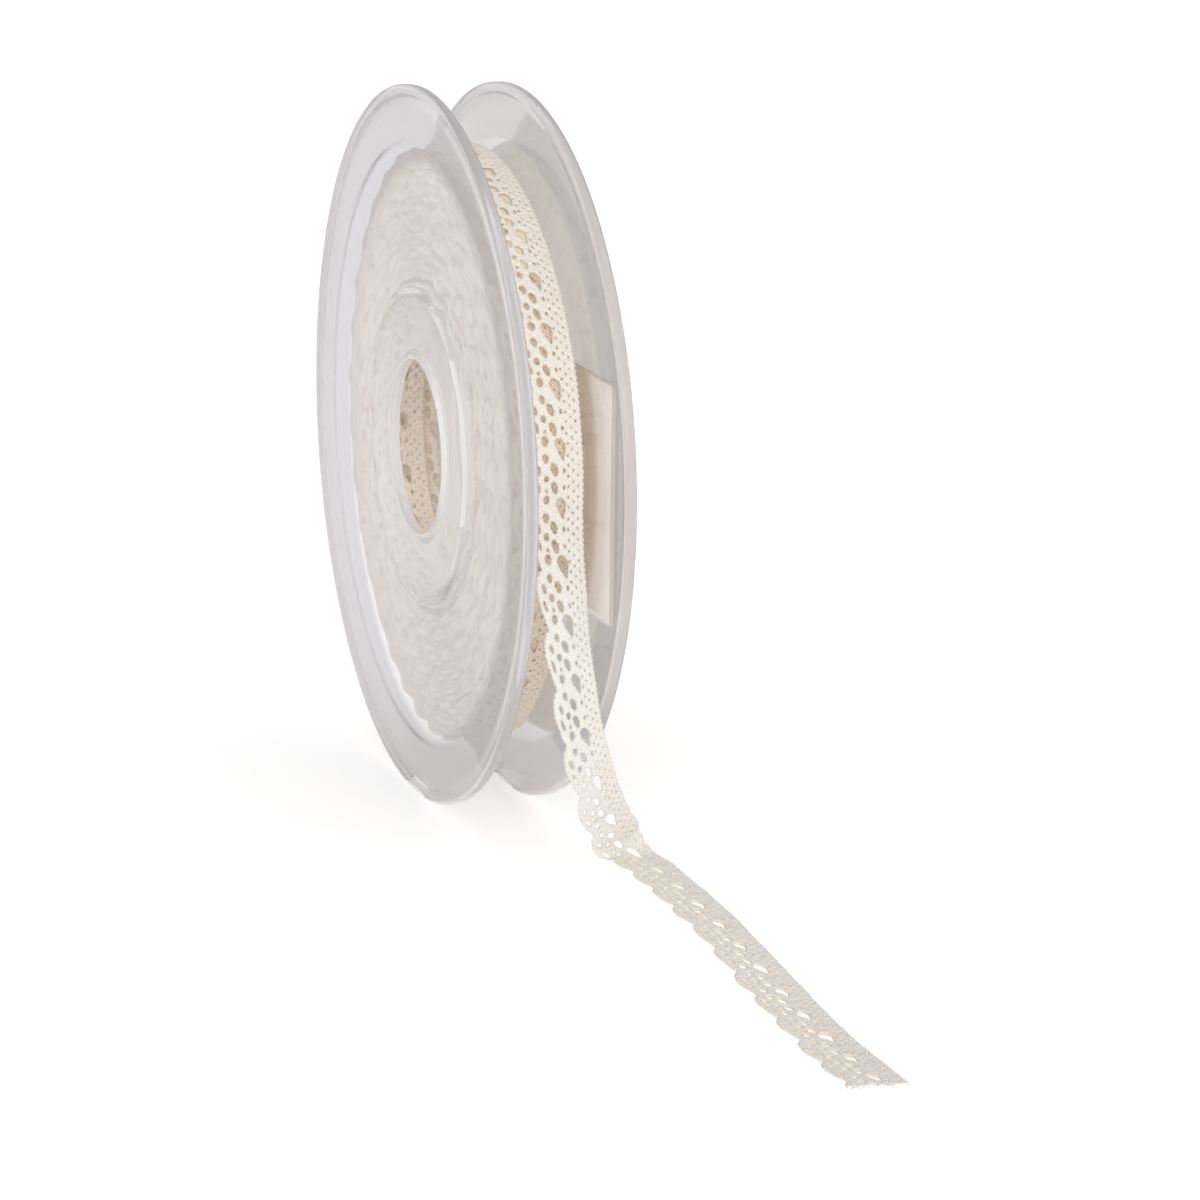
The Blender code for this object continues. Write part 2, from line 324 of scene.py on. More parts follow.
def makeYarnGroup():
    # Cotton yarn on the cloth's own map: two families of slanting ridges for the twist, broken up by noise,
    # and a paler tone on the ridges than in the gaps between them, where shade is painted. Specks are darker
    # hollows 1 to 3 mm long, a bump with painted shade in it. The lit share, which the painted shade
    # attribute gives, makes the whole paler, and the far share turns the ridges' tone into the far tone, the
    # loose end's painted shade.
    group, given = nodeGroup("cotton yarn", [
        ("Way", "Vector", None), ("Crown Tone", "Color", (1, 1, 1, 1)),
        ("Gap Shade Tone", "Color", (0.5, 0.5, 0.5, 1)), ("Far Shade Tone", "Color", (1, 1, 1, 1)), ("Far Shade", "Float", 0.0),
        ("Lit Share", "Float", 1.0), ("Fuzz", "Float", 0.5), ("Specks", "Float", 0.0)])
    way = given["Way"]
    ridges = []
    for turn in (yarn["lean"], -yarn["lean"]):
        turned = addNode(group, "Mapping", Vector=way)
        turned.inputs["Rotation"].default_value = (0, 0, turn)
        wave = addNode(group, "TexWave", {"bands_direction": "X"}, Vector=turned.outputs[0],
                       Scale=yarn["ridges"], Distortion=2.2, Detail=1.5, Detail_Scale=1.6)
        ridges.append(wave.outputs["Fac"])
    crossed = calc(group, "MAXIMUM", *ridges)
    warp = noise(group, way, yarn["warp"], Detail=2.0, Roughness=0.6)
    fibres = noise(group, way, yarn["fibres"], Detail=3.0, Roughness=0.7)
    fuzz = times(group, minus(group, fibres, 0.5), given["Fuzz"])
    height = plus(group, plus(group, times(group, crossed, 0.75), fuzz), times(group, warp, 0.35))
    crown = addNode(group, "MapRange", Value=crossed, From_Min=0.15, From_Max=0.75)
    share = plus(group, times(group, crown.outputs[0], 0.35), times(group, given["Lit Share"], 0.55))
    share = plus(group, share, times(group, fibres, 0.2))
    # Specks: hollows in the bump, with painted shade in them.
    spots = noise(group, stretched(group, way, (0.55, 1.0, 1.0)), yarn["specks"], Detail=1.0)
    hollow = times(group, smoothRise(group, spots, *yarn["speckRise"]), given["Specks"])
    height = minus(group, height, times(group, hollow, 2.0))
    share = addNode(group, "Clamp", Value=minus(group, share, times(group, hollow, 0.8))).outputs[0]
    crownTone = blendColours(group, given["Far Shade"], given["Crown Tone"], given["Far Shade Tone"])
    colour = blendColours(group, share, given["Gap Shade Tone"], crownTone)
    return giveOut(group, colour, plus(group, 0.82, times(group, fibres, 0.16)), height)


# Where each tone of the plastic sets in, as two distances from the axis. The outer web tones, the label's
# inner tone and the arc at the hub's wall are painted shade, and the line is a painted highlight.
mould = {
    "band": (-0.0012, 0.0002),            # counted from the start of the band
    "shadedOuterWeb": (-0.0042, -0.0002),       # counted from there too
    "leftShadedOuterWeb": (0.0545, 0.0572),     # from a point this much in front of the axis
    "leftForward": 0.0106,
    "rightShadedOuterWeb": (0.040, 0.047),
    # where the painted shadow of the roll on the label fades out
    "labelOuter": (0.0492, 0.0535),
    # where the arc of painted shade over the hub's wall lies
    "wallInside": (0.0303, 0.0312),
    "wallOutside": (0.0319, 0.0329),
    "wallBack": (-0.024, -0.010),         # the arc fades out between these places, front to back
    # the painted highlight: its radius, half its width, and how strong it is away from the label
    "line": 0.0582,
    "lineHalf": 0.00028,
    "lineBare": 0.12,                     # how strong the line is away from the label
}
toneSockets = ("Web Tone", "Outer Web Shade Tone", "Band Tone", "Label Roll Shadow Tone", "Label Outer Tone", "Highlight Tone",
               "Wall Shade Tone")


def makeMouldGroup():
    # Moulded plastic: a slow waviness, a fine grain and thin turned scratches round the axis. By the distance
    # from the axis, the tone goes from Web Tone over painted shade on the outer web to Band Tone at the band.
    group, given = nodeGroup("moulded plastic", [
        *((name, "Color", (0.8, 0.8, 0.8, 1)) for name in toneSockets), ("Haze", "Float", 0.3)])
    webTone, outerShadeTone, bandTone, labelRollShadow, labelOuter, lineTone, wallShadeTone = (
        given[name] for name in toneSockets)

    def rise(value, key, start=0.0):
        low, high = mould[key]
        return smoothRise(group, value, start + low, start + high)

    place = addNode(group, "TexCoord").outputs["Object"]
    centred = addNode(group, "Mapping", Vector=place)
    centred.inputs["Location"].default_value = (0, 0, -spool["axisHeight"])
    x, y, z = addNode(group, "SeparateXYZ", Vector=centred.outputs[0]).outputs
    radius = distance(group, y, z)
    onRight = calc(group, "GREATER_THAN", x, spool["spacing"] / 2)
    # The outer tone is a painted shade. On the right flange it reaches further in, beside the roll, and on
    # the left one only at the back: outside a circle set a little forward.
    fromForward = distance(group, plus(group, y, mould["leftForward"]), z)
    outerShade = rise(radius, "shadedOuterWeb", spool["bandStart"])
    outerShade = calc(group, "MAXIMUM", outerShade,
                 times(group, minus(group, 1.0, onRight), rise(fromForward, "leftShadedOuterWeb")))
    outerShade = calc(group, "MAXIMUM", outerShade, times(group, onRight, rise(radius, "rightShadedOuterWeb")))
    tone = blendColours(group, outerShade, webTone, outerShadeTone)
    # Where the hub's wall stands on the left flange, the front of the outer face has a soft darker arc of
    # painted shade.
    wall = times(group, rise(radius, "wallInside"), minus(group, 1.0, rise(radius, "wallOutside")))
    wall = times(group, wall, minus(group, 1.0, rise(y, "wallBack")))
    tone = blendColours(group, times(group, calc(group, "LESS_THAN", x, 0.0), wall), tone, wallShadeTone)
    tone = blendColours(group, rise(radius, "band", spool["bandStart"]), tone, bandTone)
    # Where the label sticks to the plastic, its back shows clearer, with a painted brown shadow next to
    # the roll: a window of the label's own outline. Beside it a painted highlight, a thin line, follows the
    # band's step on the inner face.
    low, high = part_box("label")
    window = onRight
    for part, k, shift in ((y, 1, 0.0), (z, 2, spool["axisHeight"])):
        away = calc(group, "ABSOLUTE", minus(group, part, (low[k] + high[k]) / 2 - shift))
        window = times(group, window, calc(group, "LESS_THAN", away, (high[k] - low[k]) / 2))
    tone = blendColours(group, window, tone,
                        blendColours(group, rise(radius, "labelOuter"), labelRollShadow, labelOuter))
    # The painted highlight: a white line, full over the label and faint elsewhere, on the right inner face.
    line = calc(group, "LESS_THAN", calc(group, "ABSOLUTE", minus(group, radius, mould["line"])),
                mould["lineHalf"])
    line = times(group, line, plus(group, mould["lineBare"], times(group, window, 1 - mould["lineBare"])))
    inner = times(group, onRight, calc(group, "LESS_THAN", x, spool["spacing"]))
    tone = blendColours(group, times(group, line, inner), tone, lineTone)
    slow = noise(group, place, 38.0, Detail=2.0)
    fine = noise(group, place, 900.0, Detail=3.0)
    turnedWay = addNode(group, "CombineXYZ", X=times(group, radius, 60.0), Y=times(group, slow, 0.25))
    scratches = noise(group, turnedWay.outputs[0], 26.0, Detail=4.0)
    rough = plus(group, given["Haze"], times(group, scratches, 0.05))
    return giveOut(group, dimmed(group, tone, plus(group, 0.95, times(group, slow, 0.1))),
                   plus(group, rough, times(group, fine, 0.03)),
                   plus(group, slow, times(group, scratches, 0.06)))


def makePaperGroup():
    # Paper: short matted fibres as two noises, one stretched, and a slight mottle in the tone.
    group, given = nodeGroup(
        "paper fibre", [("Tone", "Color", (0.88, 0.87, 0.86, 1)), ("Mottle", "Float", 0.06)])
    place = addNode(group, "TexCoord").outputs["Object"]
    fibres = noise(group, stretched(group, place, (1, 1, 3.5)), 900.0, Detail=4.0, Roughness=0.65)
    mottle = noise(group, place, 160.0, Detail=3.0)
    share = minus(group, 1.0, times(group, mottle, given["Mottle"]))
    return giveOut(group, dimmed(group, given["Tone"], share), plus(group, 0.62, times(group, fibres, 0.2)),
                   fibres)


def setSockets(node, values):
    for socket, value in values.items():
        node.inputs[socket].default_value = value


def newMaterial(name, values):
    material = bpy.data.materials.new(name)
    material.use_nodes = True
    shader = material.node_tree.nodes["Principled BSDF"]
    setSockets(shader, values)
    return material, shader


def finishMaterial(name, group, values, bumpDepth, constants, links=(), lampTint=None, glow=None):
    # One Principled shader with the group's colour, roughness and height, and its other values plain. With
    # glow (share, colour), light on the back shows softly on the front. With lampTint, light from the lamps
    # passes straight through, in that tint.
    material, shader = newMaterial(name, constants)
    tree = material.node_tree
    effect = tree.nodes.new("ShaderNodeGroup")
    effect.node_tree = group
    setSockets(effect, values)
    for kind, settings, output, socket in links:
        source = addNode(tree, kind, settings)
        tree.links.new(source.outputs[output], effect.inputs[socket])
    bump = addNode(tree, "Bump", Height=effect.outputs["Height"], Distance=bumpDepth, Strength=1.0)
    tree.links.new(effect.outputs["Colour"], shader.inputs["Base Color"])
    tree.links.new(effect.outputs["Roughness"], shader.inputs["Roughness"])
    tree.links.new(bump.outputs[0], shader.inputs["Normal"])
    surface = shader.outputs[0]
    if glow is not None:
        lit = addNode(tree, "BsdfTranslucent", Color=glow[1])
        surface = addNode(tree, "MixShader", i0=glow[0], i1=surface, i2=lit.outputs[0]).outputs[0]
    if lampTint is not None:
        path = tree.nodes.new("ShaderNodeLightPath")
        through = addNode(tree, "BsdfTransparent", Color=lampTint)
        surface = addNode(tree, "MixShader", i0=path.outputs["Is Shadow Ray"], i1=surface,
                          i2=through.outputs[0]).outputs[0]
    tree.links.new(surface, tree.nodes["Material Output"].inputs["Surface"])
    return material


plasticLook = {
    "web": (0.86, 0.84, 0.845, 1),
    # the outer web tones are painted shade
    "shadedOuterWeb": (0.58, 0.56, 0.585, 1),
    "band": (0.54, 0.52, 0.53, 1),
    # painted shadow of the roll, browner, beside it on the right flange
    "rightShadedOuterWeb": (0.72, 0.685, 0.66, 1),
    "rightBand": (0.59, 0.565, 0.57, 1),
    # a painted shadow of the roll over the label, browner near it
    "labelRollShadow": (0.74, 0.66, 0.585, 1),
    "labelOuter": (1.0, 0.985, 0.97, 1),
    # a painted highlight
    "line": (1, 1, 1, 1),
    # painted shade in an arc over the hub's wall
    "wall": (0.48, 0.46, 0.47, 1),
    "rim": (0.78, 0.755, 0.76, 1),
    "hub": (0.93, 0.90, 0.865, 1),
    "collar": (0.86, 0.84, 0.84, 1),
    "lampTint": (0.93, 0.92, 0.92, 1),
    "bump": 0.00001,
    # Each finish: its haze, which blurs what lies behind, its clearness, its coat and its IOR.
    "flangeFinish": (0.01, 0.84, 0.75, 1.15),
    "otherFinishes": {"rim": (0.10, 0.55, 0.7, 1.15), "hub": (0.05, 0.92, 0.1, 1.03),
                      "collar": (0.10, 0.35, 0.4, 1.15)},
}
cottonLook = {
    "crown": (0.905, 0.84, 0.76, 1),
    # painted shade: the loose end's darker tone
    "farShadeCrown": (0.81, 0.78, 0.737, 1),    # the loose end, away from the roll
    # the painted shade: in the gaps of the yarn, near the cloth's edges and where it is hidden
    "gap": (0.72, 0.60, 0.475, 1),
    "fuzz": 0.4,
    "bump": 0.00014,
    "innerCrown": (0.96, 0.885, 0.765, 1),
    # the painted shade of the wound turns
    "innerGapShade": (0.56, 0.38, 0.25, 1),
    "innerFuzz": 0.6,
    "innerBump": 0.00012,
    "lampTint": (0.88, 0.83, 0.76, 1),
}
yarnGroup, mouldGroup, paperGroup = makeYarnGroup(), makeMouldGroup(), makePaperGroup()
clothLinks = [("UVMap", {"uv_map": "way"}, "UV", "Way"),
              ("Attribute", {"attribute_name": "shade"}, "Fac", "Lit Share"),
              ("Attribute", {"attribute_name": "far"}, "Fac", "Far Shade")]
cottonSheen = {"Metallic": 0.0, "Sheen Weight": 0.25, "Sheen Roughness": 0.6, "Specular IOR Level": 0.25}
laceCotton = finishMaterial("lace_cotton", yarnGroup,
                            {"Crown Tone": cottonLook["crown"], "Gap Shade Tone": cottonLook["gap"],
                             "Far Shade Tone": cottonLook["farShadeCrown"], "Fuzz": cottonLook["fuzz"]},
                            cottonLook["bump"], cottonSheen, clothLinks, lampTint=cottonLook["lampTint"])
woundCotton = finishMaterial("wound_cotton", yarnGroup,
                             {"Crown Tone": cottonLook["innerCrown"], "Gap Shade Tone": cottonLook["innerGapShade"],
                              "Fuzz": cottonLook["innerFuzz"], "Specks": 1.0},
                             cottonLook["innerBump"], cottonSheen, clothLinks)


def plastic(name, tones, finish):
    # tones are names in plasticLook, one for each tone of the group.
    haze, clearness, coat, ior = finish
    values = {socket: plasticLook[tone] for socket, tone in zip(toneSockets, tones)}
    return finishMaterial(name, mouldGroup, {**values, "Haze": haze}, plasticLook["bump"],
                          {"Metallic": 0.0, "Transmission Weight": clearness, "IOR": ior,
                           "Specular IOR Level": 0.5, "Coat Weight": coat, "Coat IOR": 1.50,
                           "Coat Roughness": 0.07},
                          lampTint=plasticLook["lampTint"])


leftPlastic = plastic("clear_polystyrene", ("web", "shadedOuterWeb", "band", "web", "band", "line", "wall"),
                      plasticLook["flangeFinish"])
rightPlastic = plastic("clear_polystyrene_right",
                       ("web", "rightShadedOuterWeb", "rightBand", "labelRollShadow", "labelOuter", "line", "wall"),
                       plasticLook["flangeFinish"])
otherPlastics = [plastic(name + "_polystyrene", [name] * len(toneSockets), finish)
                 for name, finish in plasticLook["otherFinishes"].items()]
print("stage 2: materials made")


hubTube = tubeCorners(spool["hubRadius"], spool["hubWall"],
                      spool["fit"] + spool["halfWeb"] - spool["spacing"])
spigotTube = tubeCorners(spool["hubRadius"] - spool["hubWall"] - spool["fit"], spool["spigotWall"],
                         -spool["halfWeb"] - spool["spigotLength"])
turnedFlange("left_flange", flangeCorners(hubTube, spool["leftRings"], spool["leftRamp"]), 0.0, -1,
             (leftPlastic, *otherPlastics), "left_flange_and_hub")
turnedFlange("right_flange", flangeCorners(spigotTube, [], spool["rightRamp"]), spool["spacing"], 1,
             (rightPlastic, *otherPlastics), "right_flange_and_spigot")
print("stage 3: flanges turned")


lace = {
    "width": 0.0102,
    "pitch": 0.01065,             # from one scallop to the next
    "scallopDepth": 0.00135,
    "scallopLoops": (0.00020, 0.00098, 0.0006),     # along the edge: height, spacing, grain of unevenness
    "straightLoops": (0.00026, 0.00113, 0.0007),
    "firstHole": 0.0210,          # the first large hole, along the loose end
    "halfThickness": 0.00027,
    "edgeRounding": 0.00030,
    "netPitch": 0.01065 * 2 / 11,
    "unevenness": 0.00009,        # how far a hole may sit from its place
    "ridges": ((0.57, 0.00105), (-0.57, 0.00112)),  # of yarn: how far across they slant, and their spacing
    "ridgeHeight": 0.38,          # a share of the thickness
}
# The holes of one repeat in millimetres: across from the middle, along from the large hole, width, length,
# lean (how far it shifts across for each step along) and taper (1 is a point at the far end).
laceHoles = np.array([
    (0.85, 0.0, 1.60, 4.1, 0.18, 0.75),
    (-2.10, -1.6, 1.15, 1.7, 0.0, 0.1),
    (-2.10, 1.6, 1.05, 1.6, 0.10, 0.2),
    (-0.60, 3.5, 1.20, 2.3, 0.22, 0.2),
    (-3.55, 3.5, 0.80, 1.7, 0.16, 0.0),
    (-2.10, 5.1, 0.95, 1.3, 0.05, 0.0),
    (-0.50, 6.9, 1.15, 2.4, 0.20, 0.2),
    (-3.60, 6.5, 0.62, 2.2, 0.22, 0.0),
    (-2.05, 7.3, 0.60, 0.75, 0.0, 0.0),
    (1.30, 3.8, 0.50, 0.95, 0.0, 0.0),
    (1.30, 6.9, 0.45, 0.80, 0.0, 0.0),
])
netHoles = np.array([(2.10, 0.0, 0.34, 0.56, -0.12, 0.0), (3.02, 0.5, 0.32, 0.50, 0.12, 0.0),
                     (3.92, 0.0, 0.29, 0.45, 0.0, 0.0)])


def valleyOf(share):
    # How far a scallop lies back from its tip: 1 less the sine of pi times the share of the repeat raised to
    # 0.65, so that the tip comes early.
    return 1 - np.sin(math.pi * share ** 0.65)


def edgeLoops(along, loops, seed):
    # Small loops of yarn along an edge: the size of a sine, and a little unevenness.
    height, spacing, grain = loops
    return height * np.abs(np.sin(along * math.pi / spacing)) + 0.00005 * rippled(along / grain, 0, seed)


def scallopEdge(along):
    # Across from the middle: half the width out, less the scallop's depth times its valley, less the loops.
    share = np.mod((along - lace["firstHole"]) / lace["pitch"], 1.0)
    loops = edgeLoops(along, lace["scallopLoops"], 51)
    return lace["scallopDepth"] * valleyOf(share) - lace["width"] / 2 + loops


def clothDistance(along, across):
    # How far a place on the lace is from the nearest hole or edge, above zero in the cloth. A hole is an
    # ellipse, sheared by its lean and narrowed along it by its taper, and repeats with the pattern.
    chance = np.random.default_rng(7)
    near = np.minimum(across - scallopEdge(along),
                      lace["width"] / 2 - across - edgeLoops(along, lace["straightLoops"], 52))
    for holes, pitch in ((laceHoles, lace["pitch"]), (netHoles, lace["netPitch"])):
        for across0, along0, width, length, lean, taper in holes:
            start = lace["firstHole"] + (along0 / 1000 if pitch == lace["pitch"] else along0 * pitch)
            turn = np.rint((along - start) / pitch).astype(int)
            jitter = chance.uniform(-1, 1, (3, 512))[:, np.mod(turn, 512)]
            b = along - start - turn * pitch - jitter[0] * lace["unevenness"]
            a = across - across0 / 1000 - jitter[1] * lace["unevenness"] * 0.7 - lean * b
            size = (1 + 0.09 * jitter[2]) / 2000
            halfLength = length * size
            halfWidth = width * size * np.clip(1 - taper * np.clip(b / halfLength, -0.6, 1.0), 0.12, 1.4)
            reach = np.sqrt((a / halfWidth) ** 2 + (b / halfLength) ** 2) + 1e-9
            slope = np.sqrt((a / halfWidth ** 2) ** 2 + (b / halfLength ** 2) ** 2) + 1e-3
            near = np.minimum(near, reach * (reach - 1) / slope)
    return near + 0.00004 * rippled(along / 0.00022, across / 0.00022, 53)


def laceStrip(begin, end, cellsAlong, cellsAcross, slant):
    # A flat grid over the strip, cut aslant over its last 12 mm. A point near the edge of the cloth is moved
    # down the slope of the distance onto it, then a cell is kept as a quad where all its corners are cloth,
    # and as a triangle where three are.
    rows = max(2, int(round((end - begin) / lace["pitch"] * cellsAlong)) + 1)
    half = lace["width"] / 2
    along, across = np.meshgrid(np.linspace(begin, end, rows), np.linspace(-half, half, cellsAcross + 1),
                                indexing="ij")
    along = along + slant * across / half * unit((along - end) / 0.012 + 1)
    cell = lace["width"] / cellsAcross
    near = clothDistance(along, across)
    ends = np.zeros_like(along, bool)
    ends[[0, -1]] = True
    tiny = 1e-6
    edge = np.zeros_like(along, bool)
    for _ in range(3):
        slopeAlong = (clothDistance(along + tiny, across) - clothDistance(along - tiny, across)) / (2 * tiny)
        slopeAcross = (clothDistance(along, across + tiny) - clothDistance(along, across - tiny)) / (2 * tiny)
        steep = slopeAlong ** 2 + slopeAcross ** 2 + 0.05
        edge |= np.abs(near) < 0.52 * cell
        step = np.where(edge, np.clip(near, -cell / 2, cell / 2) / steep, 0)
        along = along - np.where(ends, 0, step * slopeAlong)
        across = np.clip(across - step * slopeAcross, -half - cell, half)
        near = clothDistance(along, across)
    state = np.where(edge, 0, np.where(near > 0, 1, -1))
    index = np.arange(along.size).reshape(along.shape)
    low, high = slice(None, -1), slice(1, None)
    corner = ((low, low), (high, low), (high, high), (low, high))
    cells = np.stack([index[c] for c in corner], -1).reshape(-1, 4)
    states = np.stack([state[c] for c in corner], -1).reshape(-1, 4)
    flatAlong, flatAcross = along.ravel(), across.ravel()
    middleNear = clothDistance(flatAlong[cells].mean(1), flatAcross[cells].mean(1))
    whole = (states >= 0).all(1) & (middleNear > 0)
    threeLeft = (states < 0).sum(1) == 1
    gone = np.argmin(states, 1)
    order = (gone[:, None] + np.array([1, 2, 3])) % 4
    three = np.take_along_axis(cells, order, 1)
    threeNear = clothDistance(flatAlong[three].mean(1), flatAcross[three].mean(1))
    threeLeft &= threeNear > 0
    return flatAlong, flatAcross, np.maximum(near.ravel(), 0), cells[whole], three[threeLeft]


def edgesOf(quads, triangles):
    # Directed edges of all faces, and of those the ones whose opposite isn't there: the cloth's edges.
    pairs = np.concatenate([np.stack([quads, np.roll(quads, -1, 1)], -1).reshape(-1, 2),
                            np.stack([triangles, np.roll(triangles, -1, 1)], -1).reshape(-1, 2)])
    big = int(pairs.max()) + 1
    return pairs[~np.isin(pairs[:, 0] * big + pairs[:, 1], pairs[:, 1] * big + pairs[:, 0])]


def laceSheet(name, begin, end, cells, placeOf, material, slant=0.0, paintedShadeAt=None):
    # The strip is thickened like cord: thin at the edge of the cloth, and full one rounding away from it by a
    # quarter circle. Crossing ridges of yarn raise both faces, and a wall closes every edge. placeOf gives
    # the middle surface and its upward direction for arrays of along and across, and the shading function
    # how much painted shade browns the cloth. Painted shade also darkens the cloth towards every edge. Its
    # far tone, a painted shade, sets in over 4 cm, from 1 cm before the roll's end, and goes back by 0.3
    # from 65 to 85 mm.
    along, across, near, quads, triangles = laceStrip(begin, end, *cells, slant)
    used, quads, triangles = compact(quads, triangles)
    along, across, near = along[used], across[used], near[used]
    inward = unit(near / lace["edgeRounding"])
    crown = np.sqrt(1 - (1 - inward) ** 2)
    ridges = np.maximum(*(np.sin((along * 0.82 + across * over) * math.tau / spacing)
                          for over, spacing in lace["ridges"]))
    half = lace["halfThickness"] * (0.45 + 0.55 * crown) * (1 + lace["ridgeHeight"] * ridges * inward)
    middle, up = placeOf(along, across)
    top, under = middle + up * half[:, None], middle - up * half[:, None]
    under[:, 2] = np.maximum(under[:, 2], 0.00002)
    count = len(along)
    rim = edgesOf(quads, triangles)
    walls = np.stack([rim[:, 0], rim[:, 0] + count, rim[:, 1] + count, rim[:, 1]], -1)
    paintedShade = 0 if paintedShadeAt is None else paintedShadeAt(along, across)
    # Painted shade: the cloth is darker towards every edge, and browner where the shading function says.
    shade = unit(0.35 + 0.65 * crown - paintedShade)
    # The far tone, a painted shade on the loose end.
    far = unit((along + 0.01) / 0.04) - 0.3 * unit((along - 0.065) / 0.02)
    return putPiece(name, np.concatenate([top, under]),
                    np.concatenate([quads, quads[:, ::-1] + count, walls]), (material,),
                    triangles=np.concatenate([triangles, triangles[:, ::-1] + count]), sharp=70,
                    way=np.tile(np.stack([along, across], -1), (2, 1)), shade=np.tile(shade, 2),
                    far=np.tile(far, 2))


def compact(quads, triangles):
    # Leaves out the points that no face uses, and numbers the rest again.
    used, again = np.unique(np.concatenate([quads.ravel(), triangles.ravel()]), return_inverse=True)
    return used, again[:quads.size].reshape(-1, 4), again[quads.size:].reshape(-1, 3)


roll = {
    "radius": 0.057822,
    "layer": 0.0013,              # what each turn adds
    "topTurnMiddle": 0.00835,
    "drift": 0.0019,              # how far left the last turn has moved one turn back
    "driftFrom": 3.9,             # in radians, and over how many
    "driftOver": 1.7,
    # where the painted shade below the roll sets in:
    "shadeFrom": 0.225,           # this far back along the last turn
    "swell": 0.00025,
    "overlap": 0.75,              # how far the last turn runs on under itself, in radians
    "leaves": 0.0004 / 0.0573,    # the angle below level where the loose end starts
    "cells": (38, 38),
}


def turnRadius(angle):
    # The outside of the spiral: each full turn back from the loose end loses one layer, and a slow swell
    # goes round four times.
    return roll["radius"] - roll["layer"] * angle / math.tau + roll["swell"] * np.sin(4 * angle)


def turnMiddle(angle):
    # Where the middle of the cloth lies between the flanges: it drifts left from two thirds of a turn on,
    # by three times the square of the share less twice its cube.
    share = unit((angle - roll["driftFrom"]) / roll["driftOver"])
    return roll["topTurnMiddle"] - roll["drift"] * share ** 2 * (3 - 2 * share)


# The arc length round the spiral, summed in small steps, gives the angle for any length of lace.
turnAngles = np.linspace(0, math.tau + roll["overlap"], 2000)
halfway = (turnAngles[1:] + turnAngles[:-1]) / 2
turnLengths = np.concatenate([[0], np.cumsum(turnRadius(halfway) * np.diff(turnAngles))])


def onRoll(along, across):
    # Round the roll: the length back from the loose end becomes an angle, the middle of the cloth lies half
    # its thickness inside the spiral, and up is straight out from the axis.
    angle = np.interp(-along, turnLengths, turnAngles) - roll["leaves"]
    out = np.stack([0 * angle, -np.cos(angle), np.sin(angle)], -1)
    settle = 0.00010 * rippled(along / 0.004, across / 0.003, 21)
    radius = turnRadius(angle) - 0.0005 + settle * unit(-along / 0.004)
    middle = out * radius[:, None]
    sway = 0.00012 * rippled(along / 0.02, 0, 22) * unit(-along / 0.01)
    middle[:, 0] = turnMiddle(angle) + across + sway
    middle[:, 2] += spool["axisHeight"]
    return middle, out


def shadeBelowRoll(along, across):
    # Painted shade: the tone is browner below the roll, from two thirds of a turn back.
    return 0.9 * unit((-roll["shadeFrom"] - along) / 0.04)


lastTurn = laceSheet("last_turn_of_lace", -turnLengths[-1], 0.0, roll["cells"], onRoll, laceCotton,
                     paintedShadeAt=shadeBelowRoll)
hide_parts("lace_roll")
print("stage 4: last turn laid")


# The loose end's middle line in millimetres: right of the spool's middle, in front of the axis, above the
# surface, and how far the straight edge is raised, in degrees. It is the solid's own route.
looseEnd = np.array([
    (-0.8, 57.3, 68.3, 0), (-0.8, 59.0, 58.0, -7), (-0.2, 61.0, 47.0, -14), (0.9, 62.4, 36.0, -17),
    (3.2, 61.8, 25.0, -21), (6.9, 59.2, 14.8, -25), (11.0, 54.8, 7.2, -23), (14.2, 52.2, 2.8, -15),
    (15.8, 54.2, 0.9, -6), (16.1, 58.5, 0.8, -2), (16.1, 66.0, 1.2, -3), (15.8, 80.0, 1.8, -4),
    (15.3, 97.0, 1.7, -4), (14.6, 117.0, 1.1, -3), (13.4, 138.0, 0.6, -1), (12.3, 158.0, 1.2, -1),
    (11.4, 174.5, 2.6, 0)])
loose = {
    "steps": 60,                  # of the route between two stations
    "beyond": 0.004,              # how far it runs on straight, so that the end can be cut aslant
    "slant": 0.0008,
    "reach": 0.0009,              # its heading is taken this far ahead and behind
    "ripple": 0.00022,
    "settles": 0.00025,           # how far it sinks near the surface
    "lowest": 0.00026,            # its middle above the surface
    "cells": (42, 40),            # along a repeat, and across
}


def smoothRoute(stations, steps):
    # A Catmull-Rom curve: between two stations each number follows the cubic that leaves and arrives with
    # half the difference of its neighbours. It starts straight down, as the roll's face does there.
    first = stations[1] * (1, 1, -1, 1) + stations[0] * (0, 0, 2, 0)
    rows = np.concatenate([[first], stations, [2 * stations[-1] - stations[-2]]])
    t = (np.arange(steps) / steps)[None, :, None]
    before, here, there, after = (rows[k:len(rows) - 3 + k, None, :] for k in range(4))
    curve = 0.5 * (2 * here + (there - before) * t + (2 * before - 5 * here + 4 * there - after) * t ** 2
                   + (3 * here - before - 3 * there + after) * t ** 3)
    return np.concatenate([curve.reshape(-1, stations.shape[1]), rows[-2:-1]])


route = smoothRoute(looseEnd, loose["steps"])
routePoints = route[:, :3] * (1, -1, 1) / 1000 + (spool["spacing"] / 2, 0, 0)
routeLengths = np.concatenate([[0], np.cumsum(np.linalg.norm(np.diff(routePoints, axis=0), axis=1))])
looseLength = float(routeLengths[-1])
step, stepLength = routePoints[-1:] - routePoints[-2:-1], routeLengths[-1] - routeLengths[-2]
routePoints = np.concatenate([routePoints, routePoints[-1:] + step * loose["beyond"] / stepLength])
routeLengths = np.append(routeLengths, looseLength + loose["beyond"])
route = np.concatenate([route, route[-1:]])


def alongRoute(values, along):
    # Each number read off along the route, straight between its points.
    return np.stack([np.interp(along, routeLengths, values[:, k]) for k in range(values.shape[1])], -1)


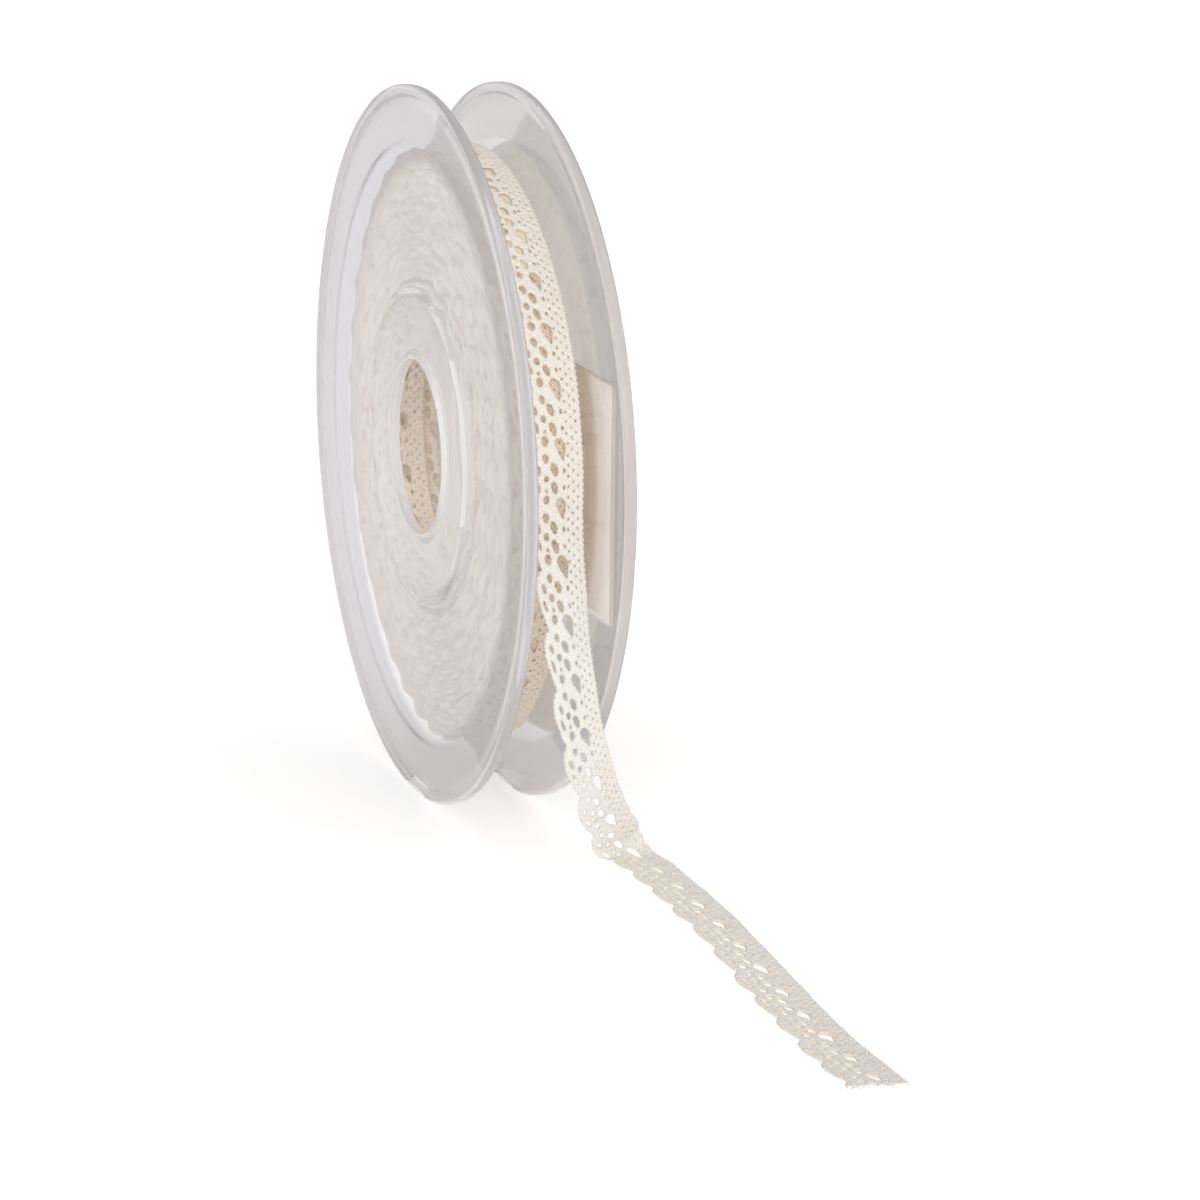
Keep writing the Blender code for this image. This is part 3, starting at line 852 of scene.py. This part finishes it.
def onLooseEnd(along, across):
    # Along the route: across is the spool's own direction square to the route, turned by the lift, and up is
    # square to both. The cloth ripples a little where it hangs free.
    ahead = alongRoute(routePoints, along + loose["reach"])
    behind = alongRoute(routePoints, along - loose["reach"])
    heading = (ahead - behind) / np.linalg.norm(ahead - behind, axis=1)[:, None]
    level = np.array([1.0, 0, 0]) - heading * heading[:, :1]
    level /= np.linalg.norm(level, axis=1)[:, None]
    lift = np.radians(np.interp(along, routeLengths, route[:, 3]))[:, None]
    sideways = np.cos(lift) * level + np.sin(lift) * np.cross(heading, level)
    up = np.cross(heading, sideways)
    free = unit(along / 0.012) * np.clip(np.abs(across) / 0.004, 0.2, 1)
    ripple = loose["ripple"] * rippled(along / 0.0042, across / 0.0035, 31) * free
    middle = alongRoute(routePoints, along) + sideways * across[:, None] + up * ripple[:, None]
    lowered = loose["settles"] * unit((0.02 - middle[:, 2]) / 0.012)
    middle[:, 2] = np.maximum(middle[:, 2] - lowered, loose["lowest"])
    return middle, up


tail = laceSheet("loose_end_of_lace", 0.0, looseLength, loose["cells"], onLooseEnd, laceCotton,
                 slant=loose["slant"])
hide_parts("lace_tail")
print("stage 5: loose end hung,", round(looseLength, 4), "m")


# The first turns show through the hub.
firstTurns = {
    "near": {"radius": 0.03190, "middle": 0.0125},    # against the right flange, over the other
    "far": {"radius": 0.03112, "middle": 0.0059},     # lies on the hub, against the left flange
    "cells": (26, 28),
}


def onHub(turn):
    # Round the hub: the length along the lace over the radius is the angle, and up is straight out.
    def place(along, across):
        angle = along / turn["radius"]
        out = np.stack([0 * angle, -np.cos(angle), np.sin(angle)], -1)
        middle = out * (turn["radius"] + 0.00008 * rippled(along / 0.004, across / 0.003, 61))[:, None]
        middle[:, 0] = turn["middle"] + across
        middle[:, 2] += spool["axisHeight"]
        return middle, out
    return place


def shadowBesideEdge(along, across):
    # A painted shadow, browner where the other strip's straight edge lies over this one: a bell curve
    # about that edge.
    edge = firstTurns["far"]["middle"] + lace["width"] / 2 - firstTurns["near"]["middle"]
    return np.exp(-((across - edge) / 0.0008) ** 2)


for label, paintedShadeAt in (("near", shadowBesideEdge), ("far", None)):
    turn = firstTurns[label]
    strip = laceSheet("first_turn_" + label, -math.tau * turn["radius"], 0.0, firstTurns["cells"],
                      onHub(turn), laceCotton, paintedShadeAt=paintedShadeAt)
    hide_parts("lace_roll")
print("stage 6: first turns laid on the hub")


woundBody = {
    "aroundSteps": 380,
    "layers": 18,
    "rowsPerLayer": 5,
    "innerRadius": 0.0324,
    "sideLeft": 0.0010,
    "sideGap": 0.0004,            # from the right flange
    "mapRadius": 0.045,           # the cloth map goes round at this radius
    "recess": 0.00105,            # how far a scallop's valley lies back from its tip
    "groove": 0.00045,            # between two turns
    "drawn": 0.0003,              # how far a turn is drawn in
    "uneven": 0.0002,
    "bundle": 0.0004,             # the swell of a few turns together
    # How far each side stands in from its flange or out from the last turn, by the distance from the axis.
    "leftBow": ((0.0324, 0.0), (0.040, 0.0001), (0.046, 0.0004), (0.050, 0.0010), (0.0535, 0.0019),
                (0.0555, 0.0023)),
    "rightFlare": ((0.0369, 0.0041), (0.0429, 0.0021), (0.0494, 0.0006), (0.0554, 0.0002), (0.058, -0.0001)),
}


def windingSection(angle):
    # One closed outline of the wound body, the same number of points at every angle: up the left side, over
    # the top under the last turn, down the right side and along the hub.
    inner, left = woundBody["innerRadius"], woundBody["sideLeft"]
    underlap = unit((roll["overlap"] + 0.05 - angle) / 0.08)
    top = turnRadius(angle) - 0.00088 - roll["layer"] * underlap
    right = turnMiddle(angle) + lace["width"] / 2
    fullRight = spool["spacing"] - spool["halfWeb"] - woundBody["sideGap"]
    rise = np.linspace(0, 1, woundBody["layers"] * woundBody["rowsPerLayer"])
    one = np.ones((len(angle), 1))
    leftTop = roll["radius"] - 0.0030
    leftRadius = inner + (leftTop - inner) * rise * one
    leftX = left + np.interp(leftRadius, *zip(*woundBody["leftBow"]))
    overT = np.linspace(0, 1, 26)[1:-1] * one
    overX = leftX[:, -1:] + (right - 0.0008 - leftX[:, -1:]) * overT
    overRadius = np.minimum(top, leftTop + 0.0006 + 0.0022 * unit((overX - 0.0019) / 0.0014))
    rightTop = top - 0.0003
    rightRadius = rightTop + (inner - rightTop) * rise * one
    flare = right + np.interp(rightRadius, *zip(*woundBody["rightFlare"]))
    flare = flare + (fullRight - flare) * unit((0.0429 - rightRadius) / 0.006)
    hubX = left + (fullRight - left) * (np.linspace(1, 0, 20)[1:-1] * one)
    x = np.concatenate([leftX, overX, flare, hubX], 1)
    radius = np.concatenate([leftRadius, overRadius, rightRadius, inner + 0 * hubX], 1)
    side = np.concatenate([-1 + 0 * rise, 0 * overT[0], 1 + 0 * rise, 0 * hubX[0]])
    return x, radius, side


def sideRelief(angle, radius, side):
    # The edge of each wound turn: layers counted out from the hub along the spiral, each one's edge rounded
    # like a half wave, set back in the valleys of its scallops, whose place follows from the length of lace
    # wound so far, and drawn a little in or out from turn to turn. The deeper it lies, the darker the shade
    # painted on it.
    inner = woundBody["innerRadius"]
    layer = (radius - inner) / roll["layer"] + angle / math.tau
    whole = np.floor(layer)
    turns = whole + 1 - angle / math.tau
    length = math.tau * turns * (inner + roll["layer"] * turns / 2)
    valley = valleyOf(np.mod(length / lace["pitch"], 1.0))
    drawn = np.random.default_rng(11).uniform(-1, 1, 64)[np.clip(whole, 0, 63).astype(int)]
    bundle = 0.5 + 0.5 * np.sin(layer * 2.4 + 1.2 * np.sin(angle * 2) + 0.8 * np.sin(angle * 5 + 1))
    back = woundBody["recess"] * valley * (side < 0)
    back = back + woundBody["groove"] * (1 - np.sin(math.pi * (layer - whole)))
    back = back + woundBody["drawn"] * (1 + drawn)
    back = back + woundBody["uneven"] * (1 + rippled(angle * 5, radius / 0.004, 41))
    back = back + woundBody["bundle"] * bundle
    shade = unit(1.15 - 1.25 * back / (woundBody["recess"] + woundBody["groove"]))
    return back, shade


def woundShade(angle, side, shade):
    # Painted shade on the wound turns: the top is darker by 0.8 below the roll, between 4.2 and 6.2 radians,
    # and by 0.45 elsewhere from 0.45 radians on. The right side, in the roll's shade, keeps 0.45 of its
    # shade.
    below = unit((angle - 4.2) / 0.5) * unit((6.2 - angle) / 0.15)
    above = 0.45 * unit((angle - 0.45) / 0.45) * (1 - below)
    return np.where(side == 0, 1 - 0.8 * below - above, np.where(side > 0, 0.45 * shade, shade))


angle = np.linspace(0, math.tau, woundBody["aroundSteps"], endpoint=False)[:, None]
sectionX, sectionRadius, side = windingSection(angle)
back, shade = sideRelief(angle, sectionRadius, side)
sectionX = sectionX - side * back
woundPoints = np.stack([sectionX, -sectionRadius * np.cos(angle),
                        spool["axisHeight"] + sectionRadius * np.sin(angle)], -1).reshape(-1, 3)
woundWay = np.stack([angle * woundBody["mapRadius"] + 0 * sectionX, sectionX + sectionRadius], -1)
wound = putPiece("wound_turns", woundPoints, outwards(woundPoints, ringQuads(*sectionX.shape)),
                 (woundCotton,), sharp=75, way=woundWay.reshape(-1, 2),
                 lap=math.tau * woundBody["mapRadius"], shade=woundShade(angle, side, shade).ravel())
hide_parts("lace_roll")
print("stage 7: turns beneath wound")


# The label keeps its solid's own shape, with a paper finish that lets some light through.
labelLook = {
    "tone": (0.96, 0.945, 0.93, 1),
    "glow": (0.80, (1.0, 0.98, 0.96, 1)),
    "lampTint": (0.6, 0.57, 0.54, 1),
    "bump": 0.00002,
}
labelPaper = finishMaterial("label_paper", paperGroup, {"Tone": labelLook["tone"]}, labelLook["bump"],
                            {"Metallic": 0.0, "Specular IOR Level": 0.3},
                            lampTint=labelLook["lampTint"], glow=labelLook["glow"])
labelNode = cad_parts["label"]
labelNode.data.materials.clear()
labelNode.data.materials.append(labelPaper)
print("stage 8: label papered")


stageLook = {
    "floorReach": 14.0,
    "floorTone": (0.93, 0.93, 0.93, 1),
    "floorGlow": 0.32,
    "skyStrength": 0.55,
    # Each lamp: where it shines to, its strength, and its softness in degrees.
    "lamps": {"key": ((0.50, 0.85, -0.50), 1.35, 60), "fill": ((-0.6, 0.55, -0.4), 0.8, 90)},
}


def makeFloor():
    mesh = bpy.data.meshes.new("floor")
    reach = stageLook["floorReach"]
    corners = [(-reach, -reach, 0), (reach, -reach, 0), (reach, reach, 0), (-reach, reach, 0)]
    mesh.from_pydata(corners, [], [(0, 1, 2, 3)])
    floor = putObject("floor", mesh)
    material = newMaterial("pale_floor", {
        "Base Color": stageLook["floorTone"], "Roughness": 0.9, "Specular IOR Level": 0.1,
        "Emission Color": (1, 1, 1, 1), "Emission Strength": stageLook["floorGlow"]})[0]
    mesh.materials.append(material)


def aimAxis(forward, up):
    # A lamp's own axes: it shines along forward, its right is square to that and to up, and its top square
    # to both.
    forward = np.array(forward) / np.linalg.norm(forward)
    right = np.cross(forward, up)
    right /= np.linalg.norm(right)
    top = np.cross(right, forward)
    return np.stack([right, top, -forward], -1)


def softSun(name, towards, strength, softness):
    lamp = bpy.data.lights.new(name, "SUN")
    lamp.energy, lamp.angle = strength, math.radians(softness)
    putObject(name, lamp).matrix_world = matrixOf(aimAxis(towards, (0, 0, 1)), (0, 0, 1))


def matrixOf(axes, place):
    # The axes are the columns, then the place.
    rows = np.eye(4)
    rows[:3, :3] = axes
    rows[:3, 3] = place
    return [list(column) for column in rows.T]


def makeCamera():
    # The photograph's own viewpoint: ten rim radii from the spool, 18 degrees to the left, about 12 above.
    camera = bpy.data.cameras.new("camera")
    camera.sensor_width, camera.lens = 36.0, 107.1
    camera.clip_start, camera.clip_end = 0.01, 100
    holder = putObject("camera", camera)
    right = (0.940041, -0.340878, 0.011176)
    up = (0.075287, 0.239355, 0.968009)
    forward = (0.332648, 0.909127, -0.250672)
    place = (-0.19740, -0.64254, 0.21246)
    holder.matrix_world = matrixOf(np.stack([right, up, -np.array(forward)], -1), place)
    bpy.context.scene.camera = holder


makeFloor()
world = bpy.data.worlds.new("studio")
bpy.context.scene.world = world
world.use_nodes = True
sky = world.node_tree.nodes["Background"].inputs
sky["Color"].default_value, sky["Strength"].default_value = (1.0, 1.0, 1.0, 1), stageLook["skyStrength"]
for label, (towards, strength, softness) in stageLook["lamps"].items():
    softSun(label, towards, strength, softness)
makeCamera()
bpy.context.scene.view_settings.view_transform = "Standard"
print("stage 9: floor, light and camera set")
